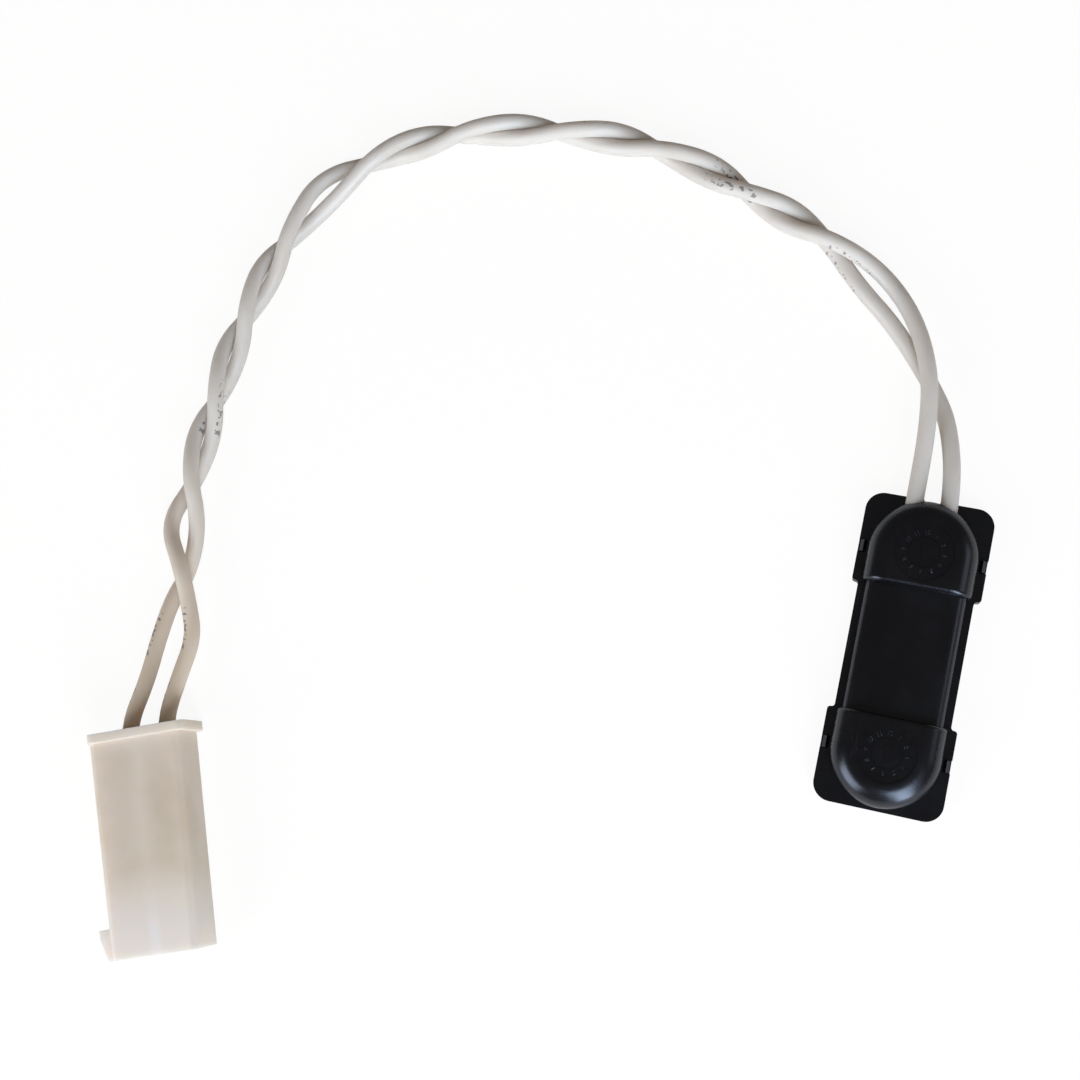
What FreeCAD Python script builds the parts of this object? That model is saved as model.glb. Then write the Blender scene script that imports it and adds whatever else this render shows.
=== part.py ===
import FreeCAD, Part
import math
import os

from FreeCAD import Rotation, Vector

# Fridge temperature sensor: a flat snap-together case with two round humps,
# a loosely twisted pair of leads and a two-way plug. Lengths in millimetres.
# The case lies on its flat back with its middle at the origin, +Y towards the leads.

# Case, seen from above
case_length = 38.0
end_width = 15.4
waist_step = 0.8
end_block_length = 11.2
outer_corner_radius = 2.2
step_corner_share = 0.48

# Case, heights above the flat back
base_thickness = 1.0
plate_thickness = 1.0
wire_over_plate = 0.25
splice_headroom = 0.4
hump_step = 1.4

# Humps and the arched waist between them
hump_side_margin = 1.2
hump_end_margin = 0.4
hump_edge_radius = 2.7
hump_step_edge_radius = 0.5
arch_side_margin = 0.9
arch_crown = 0.6
arch_edge_radius = 1.5
cover_wall = 1.1
ledge_width = 0.2
ledge_height = 0.2

# Date dial on each hump: a sunk disc with raised marks
dial_radius = 3.55
dial_depth = 0.2
dial_mark_height = 0.12
dial_tick_count = 12
dial_tick_length = 0.55
dial_tick_width = 0.16
dial_tick_margin = 0.25
dial_hub_radius = 1.75
dial_groove_width = 0.14
dial_groove_depth = 0.1
dial_arrow_length = 2.5
dial_arrow_width = 1.1
dial_arrow_shaft = 0.35

# Snap hooks of the base, in notches of the cover plate
hook_width = 1.4
hook_inset = 0.2
hook_thickness = 0.5
hook_reach = 0.25
hook_rise = 0.55
hook_nose_height = 0.2
hook_tip_width = 0.1
hook_play = 0.03
hook_clearance = 0.1

# Locating rim of the base, inside the cover
rim_height = 0.7
rim_thickness = 0.7
rim_clearance = 0.1

# Notch in the cover plate's edge between the leads
lead_notch_width = 1.9
lead_notch_depth = 0.45

# Leads
wire_diameter = 2.1
wire_hole_clearance = 0.1
case_wire_spacing = 4.2
wire_end_inside = 4.6
conductor_diameter = 1.2
bare_length = 2.6

# Splices, thermistor and its legs
splice_diameter = 2.0
splice_length = 3.6
splice_gap = 0.3
splice_edge_radius = 0.15
crimp_clearance = 0.02
leg_diameter = 0.5
leg_in_splice = 1.0
leg_spacing = 2.6
leg_drop_length = 2.6
leg_straight_out = 0.9
leg_sleeve_diameter = 1.1
leg_sleeve_clearance = 0.03
leg_sleeve_margin = 1.0
bead_diameter = 3.0
bead_length = 4.4
bead_edge_radius = 1.3
bead_leg_spacing = 1.2
bead_leg_depth = 0.8
bead_leg_straight = 0.8
bead_leg_rise_length = 2.0
resin_gap = 0.05

# Plug housing in its own frame: leads enter at y = 0, the mouth faces -Y
plug_length = 28.4
plug_width = 12.2
plug_height = 7.1
plug_draft = 0.35
plug_edge_radius = 0.9
plug_pitch = 5.1
plug_lead_offset = 0.45
flange_thickness = 1.2
flange_top_overhang = 0.3
flange_side_overhang = 0.9
flange_latch_side_overhang = 0.2
flange_edge_radius = 1.0
socket_depth = 9.0
socket_width = 4.1
socket_height = 4.9
latch_length = 3.9
latch_reach = 1.4
latch_flat = 1.0
latch_nose_reach = 0.5
latch_side_margin = 0.6

# Contacts in the plug
contact_width = 2.8
contact_height = 3.0
contact_box_length = 8.2
contact_sheet = 0.3
contact_clearance = 0.1
contact_neck_width = 1.4
crimp_start = 1.9
insulation_crimp_length = 1.5
conductor_crimp_length = 2.4
crimp_gap = 0.7
strand_end = 0.4
plug_wire_inside = 3.5
wire_run_outside_plug = 1.5

# Where the plug lies
plug_x = -92.5
plug_y = -28.7
plug_turn = 21.0

# Twisted stretch of the pair: x, y and half the spread of each quarter turn
pair_height = 2.45
pair_route = [
    (-92.5, -7.5, 1.60),
    (-94.5, -1.5, 2.35),
    (-94.5, 5.2, 1.55),
    (-94.4, 11.4, 1.64),
    (-93.8, 17.1, 1.59),
    (-93.4, 23.2, 1.69),
    (-92.3, 29.0, 1.61),
    (-91.0, 34.7, 1.73),
    (-88.9, 40.1, 1.61),
    (-85.3, 47.2, 2.11),
    (-79.1, 52.3, 1.55),
    (-73.4, 55.3, 1.61),
    (-67.3, 57.4, 1.56),
    (-60.6, 58.7, 1.55),
    (-53.8, 59.0, 1.58),
    (-47.3, 59.1, 1.55),
    (-40.9, 58.1, 1.61),
    (-34.4, 56.3, 1.55),
    (-28.7, 53.7, 1.63),
    (-23.5, 51.8, 1.55),
    (-17.9, 49.2, 1.63),
]

# Loose stretches of each lead, beside the plug and beside the case
right_near_plug = [(-89.5, -21.0, 3.0), (-88.9, -15.8, 2.8), (-90.6, -11.6, 3.1)]
left_near_plug = [(-93.7, -22.4, 2.9), (-94.3, -16.8, 2.5), (-93.8, -11.7, 1.9)]
right_near_case = [(-11.5, 46.9, 2.0), (-6.3, 41.5, 2.7), (-3.1, 34.4, 3.9), (-2.2, 27.5, 3.8)]
left_near_case = [(-13.6, 44.3, 1.8), (-8.2, 39.9, 1.5), (-2.1, 32.7, 1.3), (0.4, 28.3, 2.0)]
wire_run_outside_case = 1.6

# How far a cutting shape reaches past the face that it opens
cut_past = 1.0

# Places worked out from the sizes above
waist_width = end_width - 2 * waist_step
step_corner_radius = waist_step * step_corner_share
hump_radius = end_width / 2 - hump_side_margin
arch_width = waist_width - 2 * arch_side_margin
plate_top = base_thickness + plate_thickness
case_wire_height = plate_top + wire_over_plate + wire_diameter / 2
hump_height = case_wire_height + splice_diameter / 2 + splice_headroom + cover_wall
arch_height = hump_height - hump_step
bead_height = (base_thickness + hump_height - cover_wall) / 2
leg_height = (base_thickness + arch_height - cover_wall) / 2
hump_y = case_length / 2 - hump_end_margin - hump_radius
step_y = case_length / 2 - end_block_length
insulation_end_y = case_length / 2 - wire_end_inside
splice_top_y = insulation_end_y - splice_gap
splice_bottom_y = splice_top_y - splice_length
plug_wire_height = plug_height / 2
hook_inner_x = end_width / 2 - hook_inset - hook_thickness
cavity_width = contact_width + 2 * contact_clearance
contact_floor = plug_wire_height - wire_diameter / 2 - contact_sheet - crimp_clearance
sides = (("left", -1), ("right", 1))

nodes = {}


def box(x0, x1, y0, y1, z0, z1):
    """A block between two corners."""
    return Part.makeBox(x1 - x0, y1 - y0, z1 - z0, Vector(x0, y0, z0))


def along_y(radius, x, z, y0, y1):
    """A round bar parallel to Y."""
    return Part.makeCylinder(radius, y1 - y0, Vector(x, y0, z), Vector(0, 1, 0))


def prism(points, direction):
    """A straight-sided solid from a closed list of corners."""
    outline = Part.makePolygon(points + points[:1])
    return Part.Face(outline).extrude(direction)


def upright_edges(shape, test):
    """Edges parallel to Z whose place passes the test."""
    found = []
    for edge in shape.Edges:
        start, end = edge.Vertexes[0].Point, edge.Vertexes[-1].Point
        if abs(start.x - end.x) < 1e-6 and abs(start.y - end.y) < 1e-6 and test(start):
            found.append(edge)
    return found


def case_plate(z0, z1):
    """The case's outline as a slab: two wide end blocks and a narrower waist."""
    half = case_length / 2
    slab = box(-waist_width / 2, waist_width / 2, -half, half, z0, z1)
    for low, high in ((-half, -step_y), (step_y, half)):
        slab = slab.fuse(box(-end_width / 2, end_width / 2, low, high, z0, z1))
    slab = slab.removeSplitter()
    slab = slab.makeFillet(outer_corner_radius, upright_edges(slab, lambda p: abs(p.y) > half - 0.01))
    return slab.makeFillet(step_corner_radius, upright_edges(slab, lambda p: abs(abs(p.y) - step_y) < 0.01))


def hump(inset, z0, z1, edge_radius, step_edge_radius=0):
    """The +Y hump: half-round outside, straight where it steps down to the waist, its edges rounded."""
    radius = hump_radius - inset
    face_y = step_y + inset
    arc = Part.Arc(Vector(radius, hump_y, z0), Vector(0, hump_y + radius, z0), Vector(-radius, hump_y, z0))
    corners = [Vector(-radius, hump_y, z0), Vector(-radius, face_y, z0),
               Vector(radius, face_y, z0), Vector(radius, hump_y, z0)]
    sides_wire = [Part.LineSegment(a, b).toShape() for a, b in zip(corners, corners[1:])]
    solid = Part.Face(Part.Wire([arc.toShape()] + sides_wire)).extrude(Vector(0, 0, z1 - z0))
    if edge_radius <= 0:
        return solid
    rim = [e for e in solid.Edges
           if all(abs(v.Z - z1) < 1e-6 for v in e.Vertexes) and e.CenterOfMass.y > face_y + 0.01]
    solid = solid.makeFillet(edge_radius, rim)
    if step_edge_radius <= 0:
        return solid
    step = [e for e in solid.Edges
            if all(abs(v.Y - face_y) < 1e-6 for v in e.Vertexes) and e.CenterOfMass.z > z0 + 0.01]
    return solid.makeFillet(step_edge_radius, step)


def arch(inset, z0):
    """The waist's body: upright sides, rounded shoulders and a slightly crowned top."""
    half = arch_width / 2 - inset
    top = arch_height - inset
    shoulder = top - arch_crown
    crown = Part.Arc(Vector(-half, -hump_y, shoulder), Vector(0, -hump_y, top), Vector(half, -hump_y, shoulder))
    corners = [Vector(half, -hump_y, shoulder), Vector(half, -hump_y, z0),
               Vector(-half, -hump_y, z0), Vector(-half, -hump_y, shoulder)]
    runs = [Part.LineSegment(a, b).toShape() for a, b in zip(corners, corners[1:])]
    solid = Part.Face(Part.Wire([crown.toShape()] + runs)).extrude(Vector(0, 2 * hump_y, 0))
    shoulders = [e for e in solid.Edges
                 if all(abs(v.Z - shoulder) < 1e-6 for v in e.Vertexes) and abs(e.CenterOfMass.y) < 0.01]
    return solid.makeFillet(arch_edge_radius - inset, shoulders)


def raised_body(inset, z0, step_edge_radius=0):
    """The two humps and the arch between them, pulled in on every side by the inset."""
    body = arch(inset, z0)
    one = hump(inset, z0, hump_height - inset, hump_edge_radius - inset, step_edge_radius)
    other = one.copy()
    other.rotate(Vector(0, 0, 0), Vector(0, 0, 1), 180)
    return body.fuse([one, other]).removeSplitter()


def flat_body(inset, z0, z1):
    """The same plan as the raised body, with upright walls and one height."""
    body = box(-arch_width / 2 + inset, arch_width / 2 - inset, -hump_y, hump_y, z0, z1)
    one = hump(inset, z0, z1, 0)
    other = one.copy()
    other.rotate(Vector(0, 0, 0), Vector(0, 0, 1), 180)
    return body.fuse([one, other]).removeSplitter()


def dial_marks(y, floor):
    """Ticks round the dial and an arrow across its hub, standing on the dial's floor."""
    outer = dial_radius - dial_tick_margin
    root = floor - dial_mark_height
    tick = box(outer - dial_tick_length, outer, -dial_tick_width / 2, dial_tick_width / 2,
               root, floor + dial_mark_height)
    marks = []
    for number in range(dial_tick_count):
        copy = tick.copy()
        copy.rotate(Vector(0, 0, 0), Vector(0, 0, 1), 360.0 * number / dial_tick_count)
        marks.append(copy)
    half = dial_arrow_length / 2
    head = half - dial_arrow_width * 0.8
    arrow = [(-dial_arrow_shaft / 2, -half), (dial_arrow_shaft / 2, -half), (dial_arrow_shaft / 2, head),
             (dial_arrow_width / 2, head), (0, half), (-dial_arrow_width / 2, head), (-dial_arrow_shaft / 2, head)]
    points = [Vector(px, py, root) for px, py in arrow]
    marks.append(prism(points, Vector(0, 0, 2 * dial_mark_height)))
    for mark in marks:
        mark.translate(Vector(0, y, 0))
    return marks


def with_dial(cover, y):
    """Sinks a date dial into the hump centred at y."""
    floor = hump_height - dial_depth
    cover = cover.cut(Part.makeCylinder(dial_radius, dial_depth + cut_past, Vector(0, y, floor)))
    root = Vector(0, y, floor - dial_groove_depth)
    groove = Part.makeCylinder(dial_hub_radius + dial_groove_width, dial_groove_depth, root)
    groove = groove.cut(Part.makeCylinder(dial_hub_radius, dial_groove_depth, root))
    return cover.cut(groove).fuse(dial_marks(y, floor))


def hook_places():
    """Side and y of each of the four snap hooks, beside the humps' widest points."""
    return [(side, y) for side in (-1, 1) for y in (-hump_y, hump_y)]


def sensor_cover():
    """Cover: plate, humps and arch as one moulded shell, open underneath."""
    cover = case_plate(base_thickness, plate_top).fuse(raised_body(0, base_thickness, hump_step_edge_radius))
    cover = cover.fuse(flat_body(-ledge_width, base_thickness, plate_top + ledge_height))
    cover = cover.cut(raised_body(cover_wall, base_thickness))
    for side, y in hook_places():
        x0, x1 = sorted((side * (hook_inner_x - hook_clearance), side * end_width))
        reach = hook_width / 2 + hook_clearance
        cover = cover.cut(box(x0, x1, y - reach, y + reach, base_thickness - cut_past, plate_top + cut_past))
    for _, side in sides:
        hole = along_y(wire_diameter / 2 + wire_hole_clearance, side * case_wire_spacing / 2,
                       case_wire_height, hump_y, case_length / 2 + cut_past)
        cover = cover.cut(hole)
    end = case_length / 2
    notch = box(-lead_notch_width / 2, lead_notch_width / 2, end - lead_notch_depth, end + cut_past,
                base_thickness - cut_past, plate_top + cut_past)
    cover = cover.cut(notch)
    for y in (-hump_y, hump_y):
        cover = with_dial(cover, y)
    return cover.removeSplitter()


def hook(side, y):
    """One snap hook: an upright tongue with a sloping nose over the cover plate."""
    root = base_thickness / 2
    under = plate_top + hook_play
    inner = hook_inner_x
    outer = inner + hook_thickness
    profile = [(inner, root), (outer, root), (outer, under), (inner + hook_tip_width, under + hook_rise),
               (inner - hook_reach, under + hook_nose_height), (inner - hook_reach, under), (inner, under)]
    points = [Vector(side * px, y - hook_width / 2, pz) for px, pz in profile]
    return prism(points, Vector(0, hook_width, 0))


def sensor_base():
    """Base: flat back plate with a locating rim and four snap hooks."""
    base = case_plate(0, base_thickness)
    outer = cover_wall + rim_clearance
    top = base_thickness + rim_height
    rim = flat_body(outer, base_thickness - 0.2, top)
    rim = rim.cut(flat_body(outer + rim_thickness, base_thickness, top))
    base = base.fuse([rim] + [hook(side, y) for side, y in hook_places()])
    return base.removeSplitter()


def round_path(points, share=0.45):
    """Straight runs joined by tangent arcs, each arc as large as its two runs allow."""
    edges = []
    radii = []
    start = points[0]
    for before, corner, after in zip(points, points[1:], points[2:]):
        into = (corner - before).normalize()
        out = (after - corner).normalize()
        trim = share * min((corner - before).Length, (after - corner).Length)
        half_turn = into.getAngle(out) / 2
        radius = trim / math.tan(half_turn)
        arc_start = corner - into * trim
        arc_end = corner + out * trim
        toward = (out - into).normalize()
        middle = corner + toward * (radius / math.cos(half_turn) - radius)
        edges.append(Part.LineSegment(start, arc_start).toShape())
        edges.append(Part.Arc(arc_start, middle, arc_end).toShape())
        radii.append(radius)
        start = arc_end
    edges.append(Part.LineSegment(start, points[-1]).toShape())
    return Part.Wire(edges), radii


def tube(points, diameter, name):
    """A round bar along a path of runs and arcs, with its radii and volume printed."""
    path, radii = round_path(points)
    direction = points[1] - points[0]
    ring = Part.Wire([Part.makeCircle(diameter / 2, points[0], direction)])
    solid = path.makePipeShell([ring], True, False)
    expected = math.pi * diameter ** 2 / 4 * path.Length
    print(name, "length", round(path.Length, 1), "least radius", round(min(radii), 2),
          "volume share", round(solid.Volume / expected, 4))
    return solid


def plug_lead_x(side):
    """Where a lead enters the plug, across the plug: the latch side's wall is the thicker one."""
    return side * plug_pitch / 2 + plug_lead_offset


def at_plug(x, y, z):
    """A point of the plug's own frame, where the plug lies."""
    turned = Rotation(Vector(0, 0, 1), plug_turn).multVec(Vector(x, y, z))
    return turned + Vector(plug_x, plug_y, 0)


def placed_at_plug(solid):
    """A solid of the plug's own frame, moved to where the plug lies."""
    moved = solid.copy()
    moved.rotate(Vector(0, 0, 0), Vector(0, 0, 1), plug_turn)
    moved.translate(Vector(plug_x, plug_y, 0))
    return moved


def twisted(side):
    """One strand of the pair: a quarter turn further at each point of the pair's route."""
    points = []
    last = len(pair_route) - 1
    for number, (x, y, spread) in enumerate(pair_route):
        ahead = pair_route[min(number + 1, last)]
        behind = pair_route[max(number - 1, 0)]
        along = Vector(ahead[0] - behind[0], ahead[1] - behind[1], 0).normalize()
        leftward = Vector(-along.y, along.x, 0)
        angle = math.radians(90 * number)
        offset = leftward * math.sin(angle) + Vector(0, 0, 1) * math.cos(angle)
        points.append(Vector(x, y, pair_height) + offset * (side * spread))
    return points


def wire_points(side):
    """The whole route of one lead, from inside the plug to inside the case."""
    x = plug_lead_x(side)
    points = [at_plug(x, -plug_wire_inside, plug_wire_height), at_plug(x, wire_run_outside_plug, plug_wire_height)]
    near_plug = right_near_plug if side > 0 else left_near_plug
    near_case = right_near_case if side > 0 else left_near_case
    points += [Vector(*p) for p in near_plug]
    points += twisted(side)
    points += [Vector(*p) for p in near_case]
    case_x = -side * case_wire_spacing / 2
    points.append(Vector(case_x, case_length / 2 + wire_run_outside_case, case_wire_height))
    points.append(Vector(case_x, insulation_end_y, case_wire_height))
    return points


def splice(side):
    """Crimp sleeve that joins a lead's bare end to a thermistor leg."""
    x = side * case_wire_spacing / 2
    sleeve = along_y(splice_diameter / 2, x, case_wire_height, splice_bottom_y, splice_top_y)
    sleeve = sleeve.makeFillet(splice_edge_radius, sleeve.Edges)
    bore = conductor_diameter / 2 + crimp_clearance
    bare_end = insulation_end_y - bare_length
    sleeve = sleeve.cut(along_y(bore, x, case_wire_height, bare_end - crimp_clearance, splice_top_y + cut_past))
    leg_bore = leg_diameter / 2 + crimp_clearance
    return sleeve.cut(along_y(leg_bore, x, case_wire_height, splice_bottom_y - cut_past, bare_end))


def thermistor_leg(side):
    """Leg of the thermistor: out of its splice, down into the waist and on to the bead."""
    x = side * case_wire_spacing / 2
    waist_x = side * leg_spacing / 2
    bead_x = side * bead_leg_spacing / 2
    bead_top_y = -hump_y + bead_length / 2
    points = [
        Vector(x, splice_bottom_y + leg_in_splice, case_wire_height),
        Vector(x, splice_bottom_y - leg_straight_out, case_wire_height),
        Vector(waist_x, splice_bottom_y - leg_drop_length, leg_height),
        Vector(waist_x, bead_top_y + bead_leg_straight + bead_leg_rise_length, leg_height),
        Vector(bead_x, bead_top_y + bead_leg_straight, bead_height),
        Vector(bead_x, bead_top_y - bead_leg_depth, bead_height),
    ]
    return tube(points, leg_diameter, "thermistor leg")


def leg_sleeve(side):
    """Insulating sleeve on the straight stretch of a leg."""
    x = side * leg_spacing / 2
    top = splice_bottom_y - leg_drop_length - leg_sleeve_margin
    bottom = -hump_y + bead_length / 2 + bead_leg_straight + bead_leg_rise_length + leg_sleeve_margin
    sleeve = along_y(leg_sleeve_diameter / 2, x, leg_height, bottom, top)
    bore = leg_diameter / 2 + leg_sleeve_clearance
    return sleeve.cut(along_y(bore, x, leg_height, bottom - cut_past, top + cut_past))


def thermistor_bead(legs):
    """Sensing bead: a resin-dipped pill over the ends of the two legs."""
    bead = along_y(bead_diameter / 2, 0, bead_height, -hump_y - bead_length / 2, -hump_y + bead_length / 2)
    bead = bead.makeFillet(bead_edge_radius, bead.Edges)
    return bead.cut(legs)


def plug_housing():
    """Plug housing: two contact cavities behind two open sockets, with a flange and a latch ramp."""
    half = plug_width / 2
    mouth_half = half - plug_draft
    plan = [(-half, 0), (half, 0), (mouth_half, -plug_length), (-mouth_half, -plug_length)]
    body = prism([Vector(px, py, 0) for px, py in plan], Vector(0, 0, plug_height))
    long_edges = [e for e in body.Edges if e.Length > plug_length - 1e-6]
    body = body.makeFillet(plug_edge_radius, long_edges)
    flange = box(-half - flange_latch_side_overhang, half + flange_side_overhang, -flange_thickness, 0,
                 0, plug_height + flange_top_overhang)
    across = [e for e in flange.Edges if abs(e.Length - flange_thickness) < 1e-6]
    flange = flange.makeFillet(flange_edge_radius, across)
    shoulder = latch_length - plug_length
    root = -mouth_half + plug_edge_radius
    tip = -mouth_half - latch_reach
    ramp = [(root, shoulder), (tip, shoulder), (tip, shoulder - latch_flat),
            (-mouth_half - latch_nose_reach, -plug_length), (root, -plug_length)]
    latch = prism([Vector(px, py, latch_side_margin) for px, py in ramp],
                  Vector(0, 0, plug_height - 2 * latch_side_margin))
    body = body.fuse([flange, latch])
    middle = plug_wire_height
    for _, side in sides:
        x = plug_lead_x(side)
        body = body.cut(box(x - cavity_width / 2, x + cavity_width / 2, -plug_length, cut_past,
                            contact_floor - contact_clearance,
                            contact_floor + contact_height + contact_clearance))
        body = body.cut(box(x - socket_width / 2, x + socket_width / 2, -plug_length - cut_past,
                            socket_depth - plug_length, middle - socket_height / 2, middle + socket_height / 2))
    return placed_at_plug(body.removeSplitter())


def contact(side):
    """Folded sheet contact: insulation crimp, conductor crimp, neck and spring box."""
    x = plug_lead_x(side)
    z = plug_wire_height
    box_end = socket_depth - plug_length
    box_start = box_end + contact_box_length
    first = -crimp_start
    second = first - insulation_crimp_length - crimp_gap
    neck = box(x - contact_neck_width / 2, x + contact_neck_width / 2, box_end, first,
               contact_floor, contact_floor + contact_sheet)
    claw = along_y(wire_diameter / 2 + crimp_clearance + contact_sheet, x, z,
                   first - insulation_crimp_length, first)
    reach = conductor_diameter / 2 + crimp_clearance + contact_sheet
    barrel = box(x - reach, x + reach, second - conductor_crimp_length, second, contact_floor, z + reach)
    top_edges = [e for e in barrel.Edges
                 if all(abs(v.Z - z - reach) < 1e-6 for v in e.Vertexes) and abs(e.CenterOfMass.x - x) > reach / 2]
    barrel = barrel.makeFillet(reach * 0.7, top_edges)
    spring_box = box(x - contact_width / 2, x + contact_width / 2, box_end, box_start,
                     contact_floor, contact_floor + contact_height)
    whole = neck.fuse([claw, barrel, spring_box])
    wall = contact_sheet
    whole = whole.cut(box(x - contact_width / 2 + wall, x + contact_width / 2 - wall,
                          box_end - cut_past, box_start + cut_past,
                          contact_floor + wall, contact_floor + contact_height - wall))
    whole = whole.cut(along_y(wire_diameter / 2 + crimp_clearance, x, z,
                              first - insulation_crimp_length - crimp_gap, first + cut_past))
    whole = whole.cut(along_y(conductor_diameter / 2 + crimp_clearance, x, z,
                              second - conductor_crimp_length - cut_past, second + cut_past))
    return placed_at_plug(whole.removeSplitter())


def bare_end_in_case(side):
    """Bare strands of a lead, from the end of its insulation into its splice."""
    x = side * case_wire_spacing / 2
    return along_y(conductor_diameter / 2, x, case_wire_height, insulation_end_y - bare_length, insulation_end_y)


def bare_end_in_plug(side):
    """Bare strands of a lead, from the end of its insulation through its contact's crimp."""
    x = plug_lead_x(side)
    last = -crimp_start - insulation_crimp_length - crimp_gap - conductor_crimp_length - strand_end
    bar = along_y(conductor_diameter / 2, x, plug_wire_height, last, -plug_wire_inside)
    return placed_at_plug(bar)


def potting_resin(pieces):
    """Resin that fills the case round everything in it."""
    fill = raised_body(cover_wall + resin_gap, base_thickness)
    return fill.cut(pieces)


nodes["sensor_cover"] = sensor_cover()
nodes["sensor_base"] = sensor_base()
for name, side in sides:
    nodes["wire_" + name] = tube(wire_points(side), wire_diameter, "wire " + name)
    nodes["wire_core_plug_" + name] = bare_end_in_plug(side)
    nodes["contact_" + name] = contact(side)
    # The leads change sides on their way, so the lead on the plug's left is on the case's right.
    nodes["wire_core_case_" + name] = bare_end_in_case(-side)
    nodes["splice_sleeve_" + name] = splice(-side)
    nodes["thermistor_leg_" + name] = thermistor_leg(-side)
    nodes["leg_sleeve_" + name] = leg_sleeve(-side)
nodes["thermistor_bead"] = thermistor_bead([nodes["thermistor_leg_left"], nodes["thermistor_leg_right"]])
inside = [nodes[n] for n in nodes if n not in ("sensor_cover", "contact_left", "contact_right")]
nodes["potting_resin"] = potting_resin(inside)
nodes["plug_housing"] = plug_housing()

for name, shape in nodes.items():
    solids = shape.Solids
    result = solids[0] if len(solids) == 1 else shape
    result.exportStep("parts/" + name + ".step")
    print(name, "solids", len(solids), "valid", shape.isValid(), "volume", round(shape.Volume, 2))
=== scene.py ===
import bpy
import numpy as np
from mathutils import Matrix, Vector


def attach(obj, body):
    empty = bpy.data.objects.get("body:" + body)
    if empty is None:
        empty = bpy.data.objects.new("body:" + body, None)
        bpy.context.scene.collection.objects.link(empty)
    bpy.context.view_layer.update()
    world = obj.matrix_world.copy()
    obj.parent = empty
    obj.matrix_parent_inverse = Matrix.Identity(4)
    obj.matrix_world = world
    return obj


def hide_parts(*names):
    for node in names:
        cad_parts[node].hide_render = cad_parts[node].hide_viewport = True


# Fridge temperature sensor: a black snap-together case, a loosely twisted pair of leads
# and a milky two-way plug, lying on a white table. Lengths in metres unless a name says mm.
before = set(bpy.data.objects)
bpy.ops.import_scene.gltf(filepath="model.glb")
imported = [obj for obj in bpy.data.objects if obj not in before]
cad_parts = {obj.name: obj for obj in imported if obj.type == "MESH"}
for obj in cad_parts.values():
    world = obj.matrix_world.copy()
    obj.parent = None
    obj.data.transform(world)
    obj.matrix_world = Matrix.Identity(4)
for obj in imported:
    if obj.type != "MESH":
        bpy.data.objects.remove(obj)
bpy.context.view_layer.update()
mm = 0.001
print("frame loaded with", len(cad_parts), "nodes")

camera = dict(
    place=(-0.00509, -0.01741, 0.19231),
    aim=(-0.0471, 0.0056, 0.0),   # the table point in the middle of the picture
    upTurn=12.34,                 # degrees from +Y, anticlockwise, to the picture's up
    lens=51.57,
    sensor=36,
    reach=(0.01, 10),             # nearest and farthest that it sees
)

leads = dict(
    diameter=2.1,                 # mm, as are the routes below
    pairHeight=2.45,
    pairRoute=[                   # x, y and half the spread at each quarter turn of the pair
        (-92.5, -7.2, 1.60), (-94.4, -1.4, 2.30), (-94.5, 5.2, 1.62), (-94.4, 11.4, 1.50),
        (-93.8, 17.1, 1.62), (-93.4, 23.2, 1.50), (-92.3, 29.0, 1.62), (-91.0, 34.7, 1.50),
        (-88.9, 40.1, 1.64), (-85.3, 47.2, 2.05), (-79.1, 52.3, 1.60), (-73.4, 55.3, 1.42),
        (-67.3, 57.4, 1.60), (-60.6, 58.7, 1.42), (-53.8, 59.0, 1.60), (-47.3, 59.1, 1.42),
        (-40.9, 58.1, 1.60), (-34.4, 56.3, 1.42), (-28.7, 53.7, 1.60), (-23.5, 51.8, 1.42),
        (-17.9, 49.2, 1.60),
    ],
    nearPlug={
        "right": [(-89.5, -21.0, 3.0), (-88.9, -15.8, 2.8), (-90.6, -11.6, 3.1)],
        "left": [(-93.8, -22.4, 2.9), (-93.8, -16.8, 2.5), (-93.5, -11.4, 1.9)],
    },
    nearCase={
        "right": [(-11.5, 46.9, 2.0), (-6.3, 41.5, 2.7), (-3.1, 34.4, 3.9), (-2.2, 27.5, 3.8)],
        "left": [(-13.6, 44.3, 1.8), (-8.2, 39.9, 1.5), (-2.1, 32.7, 1.3), (0.4, 28.3, 2.0)],
    },
    length={"left": 0.201, "right": 0.201},   # metres, from the photograph, end to end
    plugPlace=(-92.5, -28.7),
    plugTurn=21.0,                # degrees
    plugPitch=5.1,
    plugOffset=0.45,              # the lead pair's middle, from the plug's
    plugHeight=3.55,
    plugInside=3.5,               # how far each lead reaches into the plug
    plugRun=0.3,                  # and its first free point out of it
    caseSpacing=4.2,
    caseHeight=3.3,
    caseEdge=19.0,                # y of the case's end
    caseRun=1.6,
    caseInside=4.6,
    ringPoints=28,                # faces round a lead
    stepsPerRun=16,               # rings along each span of its curve
)


def placeCamera(values):
    # The view axis runs from place to aim; the picture's up is the table direction upTurn.
    place, aim = Vector(values["place"]), Vector(values["aim"])
    away = (place - aim).normalized()
    turn = np.radians(values["upTurn"])
    right = Vector((-np.sin(turn), np.cos(turn), 0)).cross(away).normalized()
    up = away.cross(right)
    data = bpy.data.cameras.new("view")
    data.lens = values["lens"]
    data.sensor_width = values["sensor"]
    data.clip_start, data.clip_end = values["reach"]
    viewer = bpy.data.objects.new("view", data)
    viewer.matrix_world = Matrix.Translation(place) @ Matrix((right, up, away)).transposed().to_4x4()
    bpy.context.scene.collection.objects.link(viewer)
    bpy.context.scene.camera = viewer


# Leads

def atPlug(x, y, z):
    # A point of the plug's own frame, turned and moved to where the plug lies.
    turn = np.radians(leads["plugTurn"])
    px, py = leads["plugPlace"]
    return (px + x * np.cos(turn) - y * np.sin(turn), py + x * np.sin(turn) + y * np.cos(turn), z)


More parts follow.
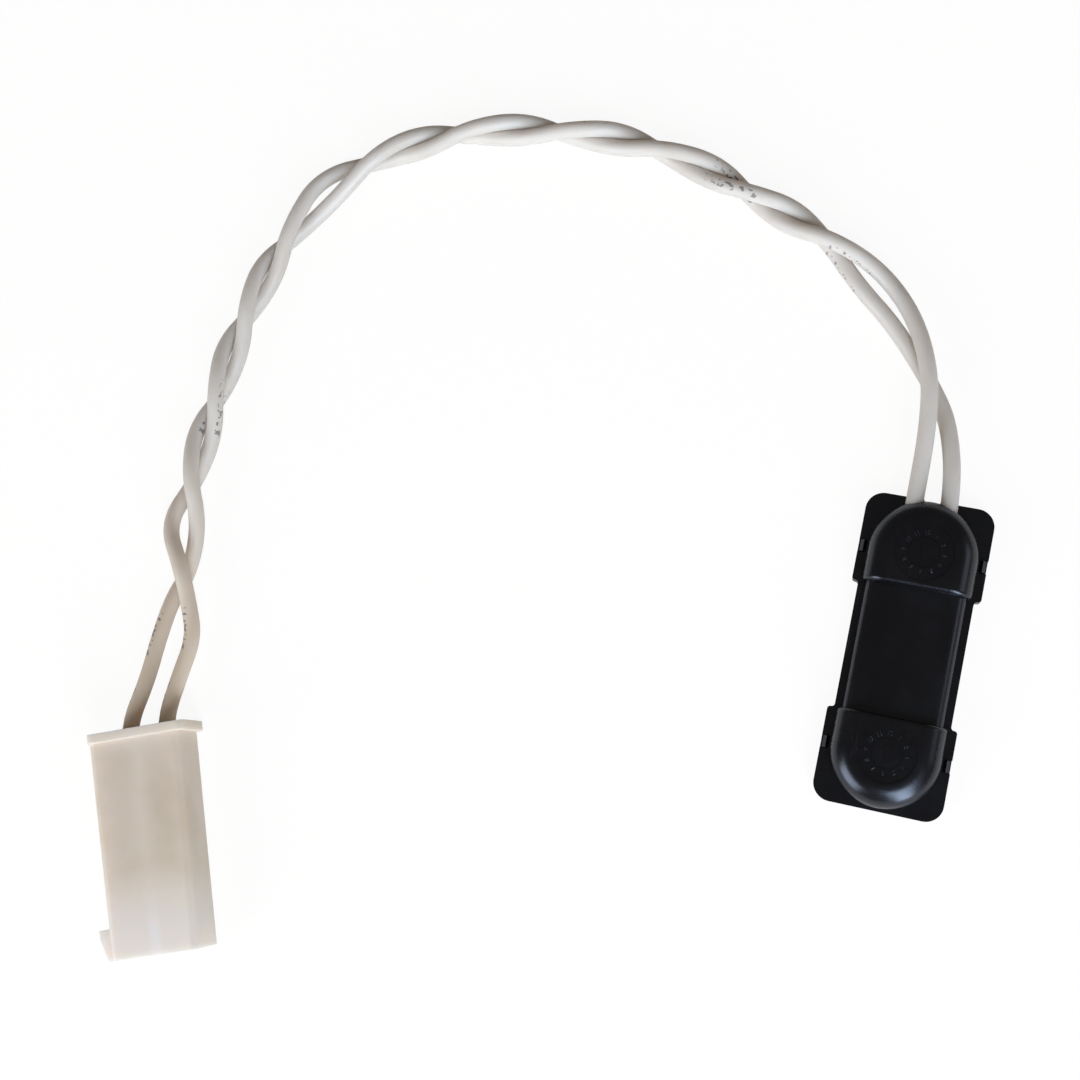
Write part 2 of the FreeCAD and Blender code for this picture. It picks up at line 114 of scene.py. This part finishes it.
def twisted(side):
    # One strand of the pair: the route's point plus its spread, turned a quarter more each time.
    route = np.array(leads["pairRoute"])
    along = np.vstack([route[1:, :2], route[-1:, :2]]) - np.vstack([route[:1, :2], route[:-1, :2]])
    along /= np.linalg.norm(along, axis=1, keepdims=True)
    angle = np.radians(90) * np.arange(len(route))
    offset = side * route[:, 2]
    return np.column_stack([
        route[:, 0] - along[:, 1] * np.sin(angle) * offset,
        route[:, 1] + along[:, 0] * np.sin(angle) * offset,
        leads["pairHeight"] + np.cos(angle) * offset,
    ])


def leadRoute(name):
    # The lead's control points, from inside the plug to inside the case, in metres.
    side = 1 if name == "right" else -1
    x = side * leads["plugPitch"] / 2 + leads["plugOffset"]
    caseX = -side * leads["caseSpacing"] / 2
    height = leads["caseHeight"]
    points = [atPlug(x, y, leads["plugHeight"]) for y in (-leads["plugInside"], leads["plugRun"])]
    points += leads["nearPlug"][name]
    points += [tuple(p) for p in twisted(side)]
    points += leads["nearCase"][name]
    points.append((caseX, leads["caseEdge"] + leads["caseRun"], height))
    points.append((caseX, leads["caseEdge"] - leads["caseInside"], height))
    return np.array(points) * mm


def smoothLine(points):
    # The smooth line of a NURBS spline with those control points, as an array of points on it.
    data = bpy.data.curves.new("line", "CURVE")
    data.dimensions = "3D"
    spline = data.splines.new("NURBS")
    spline.points.add(len(points) - 1)
    spline.points.foreach_set("co", np.column_stack([points, np.ones(len(points))]).ravel())
    spline.order_u = 3
    spline.use_endpoint_u = True
    spline.resolution_u = leads["stepsPerRun"]
    holder = bpy.data.objects.new("line", data)
    bpy.context.scene.collection.objects.link(holder)
    bpy.context.view_layer.update()
    mesh = bpy.data.meshes.new_from_object(holder)
    line = np.zeros(len(mesh.vertices) * 3)
    mesh.vertices.foreach_get("co", line)
    bpy.data.objects.remove(holder)
    bpy.data.curves.remove(data)
    bpy.data.meshes.remove(mesh)
    return line.reshape(-1, 3)


def meshPiece(name, points, faces):
    mesh = bpy.data.meshes.new(name)
    mesh.from_pydata(points.tolist(), [], faces)
    mesh.shade_smooth()
    piece = bpy.data.objects.new(name, mesh)
    bpy.context.scene.collection.objects.link(piece)
    return piece


def tube(name, line, radius, around):
    # A circle carried along the line; its frame is the tangent, the level direction across it
    # and the third axis. UV: u is the share of the way round, v the distance along in metres.
    tangent = np.gradient(line, axis=0)
    tangent /= np.linalg.norm(tangent, axis=1, keepdims=True)
    across = np.cross(tangent, (0, 0, 1))
    across /= np.linalg.norm(across, axis=1, keepdims=True)
    lift = np.cross(across, tangent)
    angle = 2 * np.pi * np.arange(around) / around
    ring = across[:, None] * np.cos(angle)[None, :, None] + lift[:, None] * np.sin(angle)[None, :, None]
    points = (line[:, None] + radius * ring).reshape(-1, 3)
    rows, columns = np.meshgrid(np.arange(len(line) - 1), np.arange(around), indexing="ij")
    here = rows * around + columns
    beside = rows * around + (columns + 1) % around
    quads = np.stack([here, here + around, beside + around, beside], axis=-1).reshape(-1, 4)
    caps = [list(range(around)), list(range(len(points) - 1, len(points) - 1 - around, -1))]
    piece = meshPiece(name, points, quads.tolist() + caps)
    distance = np.concatenate([[0], np.cumsum(np.linalg.norm(np.diff(line, axis=0), axis=1))])
    u = np.stack([columns, columns, columns + 1, columns + 1], axis=-1).reshape(-1) / around
    v = distance[np.stack([rows, rows + 1, rows + 1, rows], axis=-1).reshape(-1)]
    capUv = np.zeros(2 * around * 2)
    layer = piece.data.uv_layers.new(name="along")
    layer.uv.foreach_set("vector", np.concatenate([np.column_stack([u, v]).ravel(), capUv]))
    return piece


def makeLead(name, material):
    line = smoothLine(leadRoute(name))
    piece = tube("lead_" + name, line, leads["diameter"] * mm / 2, leads["ringPoints"])
    piece.data.materials.append(material)
    return piece, line


# Shader maths

class Value:
    # A socket whose operators add Math nodes.
    def __init__(self, make, socket):
        self.make = make
        self.socket = socket

    def maths(self, operation, *others):
        return self.make.node("ShaderNodeMath", {"operation": operation}, [self, *others])

    def __add__(self, other):
        return self.maths("ADD", other)

    __radd__ = __add__

    def __mul__(self, other):
        return self.maths("MULTIPLY", other)

    __rmul__ = __mul__

    def __sub__(self, other):
        return self.maths("SUBTRACT", other)

    def __rsub__(self, other):
        return (self * -1) + other

    def __lt__(self, other):
        return self.maths("LESS_THAN", other)


class Finish:
    # A material in the making: its shader's fixed values are set on the sockets themselves.
    def __init__(self, name, **fixed):
        self.material = bpy.data.materials.new(name)
        self.material.use_nodes = True
        self.tree = self.material.node_tree
        self.shader = self.tree.nodes["Principled BSDF"]
        for socket, amount in fixed.items():
            self.shader.inputs[socket.replace("_", " ")].default_value = amount
        self.place = self.node("ShaderNodeTexCoord", {}, {}, "Object")

    def node(self, kind, settings, inputs, output=0):
        # One node: its settings come first, then the values or links of its sockets.
        made = self.tree.nodes.new(kind)
        for name, setting in settings.items():
            setattr(made, name, setting)
        pairs = enumerate(inputs) if isinstance(inputs, list) else inputs.items()
        for key, amount in pairs:
            if isinstance(amount, Value):
                self.tree.links.new(amount.socket, made.inputs[key])
            else:
                made.inputs[key].default_value = amount
        return Value(self, made.outputs[output])

    def noise(self, scale, detail, roughness, vector=None):
        return self.node("ShaderNodeTexNoise", {}, {
            "Vector": vector or self.place, "Scale": scale, "Detail": detail, "Roughness": roughness})

    def rowNoise(self, along, scale):
        # Noise of one number, the same all the way across.
        return self.node("ShaderNodeTexNoise", {"noise_dimensions": "1D"}, {
            "W": along, "Scale": scale, "Detail": 1.0, "Roughness": 0.5})

    def stretched(self, scale):
        # The place with each axis scaled, for a pattern that runs one way.
        return self.node("ShaderNodeMapping", {"vector_type": "POINT"}, {
            "Vector": self.place, "Scale": scale})

    def parts(self, vector):
        # The three numbers of a vector.
        split = self.node("ShaderNodeSeparateXYZ", {}, [vector]).socket.node
        return [Value(self, output) for output in split.outputs]

    def smooth(self, value, low, high):
        # 0 below low, 1 above high, smooth between.
        return self.node("ShaderNodeMapRange", {"interpolation_type": "SMOOTHSTEP"}, {
            "Value": value, "From Min": low, "From Max": high})

    def mixed(self, share, first, second):
        # Colours: 6 and 7 are the Mix node's colour sockets, 2 its colour result.
        return self.node("ShaderNodeMix", {"data_type": "RGBA"}, {0: share, 6: first, 7: second}, 2)

    def set(self, **sockets):
        for name, value in sockets.items():
            self.tree.links.new(value.socket, self.shader.inputs[name.replace("_", " ")])

    def bump(self, height, distance):
        return self.node("ShaderNodeBump", {}, {"Height": height, "Distance": distance, "Strength": 1.0})


def srgb(red, green, blue):
    # The colour as a picture shows it, 0 to 255, turned to linear light.
    share = np.array([red, green, blue]) / 255
    linear = np.where(share <= 0.04045, share / 12.92, ((share + 0.055) / 1.055) ** 2.4)
    return (*linear.tolist(), 1.0)


# Finishes

blackPlastic = dict(
    colour=srgb(6, 4, 6), bloom=srgb(12, 10, 13), scuff=srgb(70, 70, 80), roughness=0.27, specular=0.72,
    sheen=(0.74, 0.83, 1.0, 1.0),     # the cool tint of its reflections
    bloomScale=180, bloomEdges=(0.45, 0.8), bloomGloss=0.2,
    scuffScale=420, scuffStretch=(1.0, 0.12, 1.0), scuffEdges=(0.62, 0.72), scuffShare=0.3, scuffGloss=0.3,
    grainScale=7000, grainHeight=0.000006,
)


def makeBlackPlastic(name, values):
    # Nearly black, with a faint paler bloom, hair scuffs that run along the case and a fine grain.
    made = Finish(name, Specular_IOR_Level=values["specular"], Specular_Tint=values["sheen"])
    bloom = made.noise(values["bloomScale"], detail=4.0, roughness=0.6)
    drawnOut = made.stretched(values["scuffStretch"])
    scuffNoise = made.noise(values["scuffScale"], detail=5.0, roughness=0.7, vector=drawnOut)
    scuff = made.smooth(scuffNoise, *values["scuffEdges"]) * values["scuffShare"]
    grain = made.noise(values["grainScale"], detail=2.0, roughness=0.5)
    plain = made.mixed(made.smooth(bloom, *values["bloomEdges"]), values["colour"], values["bloom"])
    made.set(
        Base_Color=made.mixed(scuff, plain, values["scuff"]),
        Roughness=values["roughness"] + (bloom - 0.5) * values["bloomGloss"] + scuff * values["scuffGloss"],
        Normal=made.bump(grain, values["grainHeight"]),
    )
    return made.material


insulation = dict(
    colour=srgb(217, 211, 204), haze=srgb(206, 198, 189), plugEndTint=srgb(214, 192, 164), ink=srgb(60, 62, 74),
    roughness=0.42, specular=0.45,
    scatter=0.8, scatterScale=0.0025, scatterRadius=(1.0, 0.85, 0.75),
    blotchScale=90, blotchEdges=(0.4, 0.8), blotchGloss=0.2, grainScale=2600, grainHeight=0.00001,
    plugEndTintEdges=(0.006, 0.055),  # metres from the plug's end over which the warmer, darker tint fades
    plugEndTintShare=0.6,
    inkRow=0.07,                  # half the printed row's width, as a share of the way round
    inkTurns=9.0,                 # turns of the row round the lead in each metre
    inkSpeck=1500, inkGroup=95, inkShare=0.65,
    speckEdges=(0.54, 0.59), groupEdges=(0.53, 0.56),
)


def makeInsulation(values):
    # Off-white, warmer and darker towards the plug, with a row of worn ink specks that winds slowly round.
    made = Finish("insulation", Specular_IOR_Level=values["specular"], Subsurface_Weight=values["scatter"],
                  Subsurface_Scale=values["scatterScale"], Subsurface_Radius=values["scatterRadius"])
    around, along, _ = made.parts(made.node("ShaderNodeUVMap", {"uv_map": "along"}, {}))
    blotch = made.noise(values["blotchScale"], detail=3.0, roughness=0.5)
    grain = made.noise(values["grainScale"], detail=2.0, roughness=0.5)
    plain = made.mixed(made.smooth(blotch, *values["blotchEdges"]), values["colour"], values["haze"])
    plugEndTint = (1 - made.smooth(along, *values["plugEndTintEdges"])) * values["plugEndTintShare"]
    row = (around + along * values["inkTurns"]).maths("FRACT")
    inRow = (row - 0.5).maths("ABSOLUTE") < values["inkRow"]
    unrolled = made.node("ShaderNodeCombineXYZ", {}, [around * (leads["diameter"] * mm * np.pi), along])
    specks = made.noise(values["inkSpeck"], detail=1.0, roughness=0.5, vector=unrolled)
    speck = made.smooth(specks, *values["speckEdges"])
    group = made.smooth(made.rowNoise(along, values["inkGroup"]), *values["groupEdges"])
    ink = inRow * speck * group * values["inkShare"]
    made.set(
        Base_Color=made.mixed(ink, made.mixed(plugEndTint, plain, values["plugEndTint"]), values["ink"]),
        Roughness=values["roughness"] + (blotch - 0.5) * values["blotchGloss"],
        Normal=made.bump(grain, values["grainHeight"]),
    )
    return made.material


nylon = dict(
    # The second colour is the painted shade of the contacts behind the wall, the third the painted light
    # through the open sockets.
    colour=srgb(238, 223, 208), paintedShade=srgb(205, 188, 163), paintedLight=srgb(250, 238, 233), roughness=0.36,
    specular=0.5, scatter=0.7, scatterScale=0.002, scatterRadius=(1.0, 0.8, 0.6),
    cloudScale=150, cloudEdges=(0.35, 0.75), cloudShare=0.35, cloudGloss=0.2,
    grainScale=2500, grainHeight=0.000008,
    besideShare=0.28, behindShare=0.12,   # painted shade over a contact, and all over their stretch
    contactHalf=(0.0002, 0.0032),     # where the contacts' painted shade fades, from each one's middle
    contactEnds=(0.0005, 0.0050, 0.0165, 0.0215),   # and along them, from the flange
    paintedLightFrom=0.0185, paintedLightTo=0.0265,   # painted light over the open sockets, where more light comes through
    wallLightHalf=(0.0003, 0.0011),        # and a painted light streak along the wall between them
    socketLightShare=0.6, wallLightShare=0.4,
)


def makeNylon(values):
    # Milky, with painted shade, darker and warmer, where the contacts lie behind the wall, and painted
    # light, paler, round the open sockets.
    made = Finish("milkyNylon", Specular_IOR_Level=values["specular"], Subsurface_Weight=values["scatter"],
                  Subsurface_Scale=values["scatterScale"], Subsurface_Radius=values["scatterRadius"])
    px, py = leads["plugPlace"]
    inPlug = made.node("ShaderNodeMapping", {"vector_type": "TEXTURE"}, {
        "Vector": made.place, "Location": (px * mm, py * mm, 0),
        "Rotation": (0, 0, np.radians(leads["plugTurn"]))})
    across, up, _ = made.parts(inPlug)
    down = 0 - up
    fromMiddle = (across - leads["plugOffset"] * mm).maths("ABSOLUTE")
    fromContact = (fromMiddle - leads["plugPitch"] / 2 * mm).maths("ABSOLUTE")
    start, full, fading, end = values["contactEnds"]
    # Painted shade: darker and warmer where the contacts lie behind the wall.
    beside = 1 - made.smooth(fromContact, *values["contactHalf"])
    behind = made.smooth(down, start, full) * (1 - made.smooth(down, fading, end))
    cloud = made.noise(values["cloudScale"], detail=3.0, roughness=0.5)
    clouded = made.smooth(cloud, *values["cloudEdges"]) * values["cloudShare"]
    paintedShade = (beside * values["besideShare"] + values["behindShare"] + clouded) * behind
    # Painted light: paler over the open sockets and along the wall between them.
    socket = made.smooth(down, values["paintedLightFrom"], values["paintedLightTo"])
    wallLight = 1 - made.smooth(fromMiddle, *values["wallLightHalf"])
    grain = made.noise(values["grainScale"], detail=2.0, roughness=0.5)
    paintedLight = socket * values["socketLightShare"] + wallLight * socket * values["wallLightShare"]
    body = made.mixed(paintedLight, values["colour"], values["paintedLight"])
    made.set(
        Base_Color=made.mixed(paintedShade, body, values["paintedShade"]),
        Roughness=values["roughness"] + (cloud - 0.5) * values["cloudGloss"],
        Normal=made.bump(grain, values["grainHeight"]),
    )
    return made.material


metal = dict(scratchEdges=(0.4, 0.7), scratchDark=0.7, scratchGloss=0.3, scratchHeight=0.00001)
resin = dict(flowScale=500, flowDark=0.75, flowGloss=0.2, flowHeight=0.00002)


def darker(colour, share):
    return tuple(share * c for c in colour[:3]) + (1,)


def makeMetal(name, colour, roughness, scratchScale):
    # Bare metal, darker and rougher in its scratches.
    made = Finish(name, Metallic=1.0)
    scratch = made.noise(scratchScale, detail=5.0, roughness=0.7)
    share = made.smooth(scratch, *metal["scratchEdges"])
    made.set(
        Base_Color=made.mixed(share, colour, darker(colour, metal["scratchDark"])),
        Roughness=roughness + (scratch - 0.5) * metal["scratchGloss"],
        Normal=made.bump(scratch, metal["scratchHeight"]),
    )
    return made.material


def makeResin(name, colour, roughness):
    # Cast resin or soft plastic with slow, faint waves in its colour.
    made = Finish(name)
    flow = made.noise(resin["flowScale"], detail=3.0, roughness=0.5)
    made.set(
        Base_Color=made.mixed(flow, colour, darker(colour, resin["flowDark"])),
        Roughness=roughness + (flow - 0.5) * resin["flowGloss"],
        Normal=made.bump(flow, resin["flowHeight"]),
    )
    return made.material


# Numbers on the date dials

dial = dict(
    middles={"upper": 12.1, "lower": -12.1},   # y of each hump's middle, mm, as are the next
    floor=5.6,
    ring=2.36,
    size=0.74,
    thickness=0.09,
    bevel=0.02,
    sunk=0.03,                    # how far the numbers reach into the dial's floor
)


def makeDialNumbers(name, y, material):
    # The numbers 1 to 12, each turned by its share of the circle and moved out to the ring.
    points, faces = [], []
    for number in range(1, 13):
        data = bpy.data.curves.new("number", "FONT")
        data.body = str(number)
        data.align_x = "CENTER"
        data.align_y = "CENTER"
        data.size = dial["size"]
        data.extrude = dial["thickness"] / 2
        data.bevel_depth = dial["bevel"]
        data.bevel_resolution = 1
        data.resolution_u = 3
        holder = bpy.data.objects.new("number", data)
        bpy.context.scene.collection.objects.link(holder)
        bpy.context.view_layer.update()
        mesh = bpy.data.meshes.new_from_object(holder)
        flat = np.array([vertex.co for vertex in mesh.vertices])
        turn = -2 * np.pi * number / 12
        out = flat[:, 1] + dial["ring"]
        start = sum(len(block) for block in points)
        points.append(np.column_stack([
            flat[:, 0] * np.cos(turn) - out * np.sin(turn),
            flat[:, 0] * np.sin(turn) + out * np.cos(turn) + y,
            flat[:, 2] + dial["floor"] + dial["thickness"] / 2 - dial["sunk"],
        ]))
        faces += [[start + corner for corner in face.vertices] for face in mesh.polygons]
        bpy.data.objects.remove(holder)
        bpy.data.curves.remove(data)
        bpy.data.meshes.remove(mesh)
    piece = meshPiece("dial_numbers_" + name, np.vstack(points) * mm, faces)
    piece.data.shade_flat()
    piece.data.materials.append(material)
    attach(piece, "root")


def paint(node, material):
    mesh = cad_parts[node].data
    mesh.materials.clear()
    mesh.materials.append(material)


# Table, lamps and background

studio = dict(
    tableSize=40.0,
    tableColour=srgb(238, 232, 222),
    tableGlow=1.05,
    tableGlowShare=0.88,          # the glow's share of the table as the camera sees it
    tableGlossShare=0.2,          # and as reflections see it
    lampAim=(-0.04, 0.0, 0.0),
    lamps=[
        # name, place, width, height, power, colour
        ("front", (0.36, -0.54, 0.38), 0.26, 0.80, 6.5, (0.78, 0.88, 1.0)),
        ("low", (-0.50, -0.50, 0.30), 0.45, 0.50, 3.7, (0.88, 0.93, 1.0)),
        ("right", (0.75, 0.20, 0.40), 0.35, 0.35, 0.4, (1.0, 0.95, 1.0)),
    ],
    room=(0.135, 0.122, 0.108),   # the light of the room; the camera sees the sky colour instead
    sky=(0.94, 0.94, 0.935),      # the pale background that it sees beyond the table
)


def makeStudio(values):
    half = values["tableSize"] / 2
    corners = np.array([(-half, -half, 0), (half, -half, 0), (half, half, 0), (-half, half, 0)])
    table = meshPiece("table", corners, [[0, 1, 2, 3]])
    made = Finish("tableTop", Roughness=0.9, Specular_IOR_Level=0.0)
    made.shader.inputs["Base Color"].default_value = values["tableColour"]
    glow = made.node("ShaderNodeEmission", {}, {"Color": (1, 1, 1, 1), "Strength": values["tableGlow"]})
    path = made.node("ShaderNodeLightPath", {}, {}).socket.node
    rays = ("Is Camera Ray", "Is Glossy Ray", "Is Transmission Ray")
    seen, gloss, through = [Value(made, path.outputs[ray]) for ray in rays]
    share = (seen + through) * values["tableGlowShare"] + gloss * values["tableGlossShare"]
    mix = made.node("ShaderNodeMixShader", {}, {0: share, 1: Value(made, made.shader.outputs[0]), 2: glow})
    output = made.tree.nodes["Material Output"]
    made.tree.links.new(mix.socket, output.inputs["Surface"])
    table.data.materials.append(made.material)
    for name, place, width, height, power, colour in values["lamps"]:
        data = bpy.data.lights.new(name, "AREA")
        data.shape = "RECTANGLE"
        data.size = width
        data.size_y = height
        data.energy = power
        data.color = colour
        lamp = bpy.data.objects.new(name, data)
        lamp.location = place
        towards = Vector(values["lampAim"]) - Vector(place)
        lamp.rotation_euler = towards.to_track_quat("-Z", "Y").to_euler()
        bpy.context.scene.collection.objects.link(lamp)
    world = bpy.data.worlds.new("studio")
    world.use_nodes = True
    tree = world.node_tree
    room = tree.nodes["Background"]
    room.inputs["Color"].default_value = (*values["room"], 1)
    sky = tree.nodes.new("ShaderNodeBackground")
    sky.inputs["Color"].default_value = (*values["sky"], 1)
    chosen = tree.nodes.new("ShaderNodeMixShader")
    tree.links.new(tree.nodes.new("ShaderNodeLightPath").outputs["Is Camera Ray"], chosen.inputs[0])
    tree.links.new(room.outputs[0], chosen.inputs[1])
    tree.links.new(sky.outputs[0], chosen.inputs[2])
    tree.links.new(chosen.outputs[0], tree.nodes["World Output"].inputs["Surface"])
    bpy.context.scene.world = world
    bpy.context.scene.view_settings.view_transform = "Standard"


placeCamera(camera)
makeStudio(studio)
print("camera, table and lamps placed")

casePlastic = makeBlackPlastic("coverPlastic", blackPlastic)
paint("sensor_cover", casePlastic)
paint("sensor_base", makeBlackPlastic("basePlastic", dict(blackPlastic, roughness=0.42)))
milky = makeNylon(nylon)
paint("plug_housing", milky)
tin = makeMetal("tinnedContact", srgb(196, 190, 178), roughness=0.32, scratchScale=900)
copper = makeMetal("copperStrand", srgb(206, 140, 96), roughness=0.35, scratchScale=1400)
steel = makeMetal("legWire", srgb(188, 188, 186), roughness=0.3, scratchScale=1200)
sleeve = makeResin("sleevePlastic", srgb(210, 208, 200), roughness=0.5)
for side in ("left", "right"):
    paint("contact_" + side, tin)
    paint("splice_sleeve_" + side, tin)
    paint("thermistor_leg_" + side, steel)
    paint("leg_sleeve_" + side, sleeve)
    paint("wire_core_plug_" + side, copper)
    paint("wire_core_case_" + side, copper)
paint("thermistor_bead", makeResin("beadResin", srgb(60, 34, 26), roughness=0.35))
paint("potting_resin", makeResin("potting", srgb(36, 34, 34), roughness=0.45))
print("CAD nodes finished")

# The numbers are paler than the case: partly worn tops, partly a painted glint.
numberWearAndGlint = dict(blackPlastic, colour=srgb(34, 34, 40), roughness=0.22)
numberPlastic = makeBlackPlastic("numberPlastic", numberWearAndGlint)
for name, y in dial["middles"].items():
    makeDialNumbers(name, y, numberPlastic)
print("dials numbered")

wireCover = makeInsulation(insulation)
for side in ("left", "right"):
    lead, line = makeLead(side, wireCover)
    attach(lead, "root")
    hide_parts("wire_" + side)
print("leads laid")
